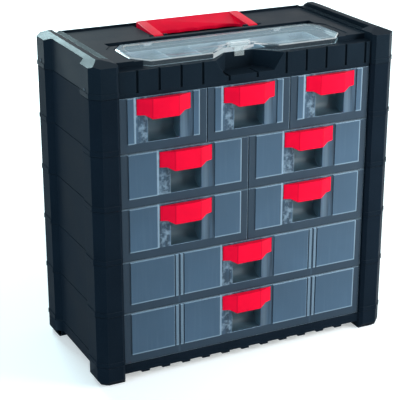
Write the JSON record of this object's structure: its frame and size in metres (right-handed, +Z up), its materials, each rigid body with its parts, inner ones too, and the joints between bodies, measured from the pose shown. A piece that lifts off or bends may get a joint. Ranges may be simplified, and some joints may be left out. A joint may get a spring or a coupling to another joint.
{
  "type": "parts bin cabinet",
  "caption": "Free-standing cabinet of stacked frames with clear small-parts drawers, red hooded pulls, a clear lidded organiser in the top and a folding carry handle",
  "frame": {"origin": "middle of the footprint, on the floor", "axes": "+X to the right seen from the front, +Y from the front to the back, +Z up; the drawers open towards -Y"},
  "size_m": [0.4, 0.191, 0.398],
  "materials": {
    "frame_plastic": "satin moulded, blue-black",
    "partition_plastic": "satin",
    "snap_pin_plastic": "satin",
    "tray_plastic": "satin grey",
    "clear_lid_plastic": "clear, polished",
    "clear_drawer_plastic": "clear with frosted panels",
    "red_plastic": "glossy red",
    "pin_steel": "plain"
  },
  "bodies": {
    "cabinet": {"base_frame": "frame_plastic", "level_frame_1": "frame_plastic", "level_frame_2": "frame_plastic", "level_frame_3": "frame_plastic", "level_frame_4": "frame_plastic", "level_frame_5": "frame_plastic", "top_cover": "frame_plastic", "cover_pins": "snap_pin_plastic", "organiser_tray": "tray_plastic", "lid_hinge_pins": "pin_steel", "handle_pins": "pin_steel", "level_3_partition": "partition_plastic", "level_4_partition": "partition_plastic", "level_5_partitions": "partition_plastic"},
    "lid": {"organiser_lid": "clear_lid_plastic", "latch_pin": "pin_steel"},
    "latch": {"lid_latch": "clear_lid_plastic"},
    "handle": {"carry_handle": "red_plastic"},
    "bin_1": {"drawer_1": "clear_drawer_plastic", "pull_1": "red_plastic"},
    "bin_2": {"drawer_2": "clear_drawer_plastic", "pull_2": "red_plastic"},
    "bin_3_left": {"drawer_3_left": "clear_drawer_plastic", "pull_3_left": "red_plastic"},
    "bin_3_right": {"drawer_3_right": "clear_drawer_plastic", "pull_3_right": "red_plastic"},
    "bin_4_left": {"drawer_4_left": "clear_drawer_plastic", "pull_4_left": "red_plastic"},
    "bin_4_right": {"drawer_4_right": "clear_drawer_plastic", "pull_4_right": "red_plastic"},
    "bin_5_left": {"drawer_5_left": "clear_drawer_plastic", "pull_5_left": "red_plastic"},
    "bin_5_middle": {"drawer_5_middle": "clear_drawer_plastic", "pull_5_middle": "red_plastic"},
    "bin_5_right": {"drawer_5_right": "clear_drawer_plastic", "pull_5_right": "red_plastic"}
  },
  "joints": [
    {"name": "organiser_lid_hinge", "type": "hinge", "parent": "cabinet", "child": "lid", "pos_m": [0, 0.007, 0.3858], "axis": [-1, 0, 0], "range_deg": [0, 90]},
    {"name": "lid_latch_hinge", "type": "hinge", "parent": "lid", "child": "latch", "pos_m": [0, -0.0575, 0.3947], "axis": [-1, 0, 0], "range_deg": [0, 80]},
    {"name": "carry_handle_hinge", "type": "hinge", "parent": "cabinet", "child": "handle", "pos_m": [0, 0.0273, 0.3885], "axis": [1, 0, 0], "range_deg": [0, 90]},
    {"name": "drawer_1_slide", "type": "slide", "parent": "cabinet", "child": "bin_1", "axis": [0, -1, 0], "range_m": [0, 0.125]},
    {"name": "drawer_2_slide", "type": "slide", "parent": "cabinet", "child": "bin_2", "axis": [0, -1, 0], "range_m": [0, 0.125]},
    {"name": "drawer_3_left_slide", "type": "slide", "parent": "cabinet", "child": "bin_3_left", "axis": [0, -1, 0], "range_m": [0, 0.125]},
    {"name": "drawer_3_right_slide", "type": "slide", "parent": "cabinet", "child": "bin_3_right", "axis": [0, -1, 0], "range_m": [0, 0.125]},
    {"name": "drawer_4_left_slide", "type": "slide", "parent": "cabinet", "child": "bin_4_left", "axis": [0, -1, 0], "range_m": [0, 0.125]},
    {"name": "drawer_4_right_slide", "type": "slide", "parent": "cabinet", "child": "bin_4_right", "axis": [0, -1, 0], "range_m": [0, 0.125]},
    {"name": "drawer_5_left_slide", "type": "slide", "parent": "cabinet", "child": "bin_5_left", "axis": [0, -1, 0], "range_m": [0, 0.125]},
    {"name": "drawer_5_middle_slide", "type": "slide", "parent": "cabinet", "child": "bin_5_middle", "axis": [0, -1, 0], "range_m": [0, 0.125]},
    {"name": "drawer_5_right_slide", "type": "slide", "parent": "cabinet", "child": "bin_5_right", "axis": [0, -1, 0], "range_m": [0, 0.125]}
  ]
}
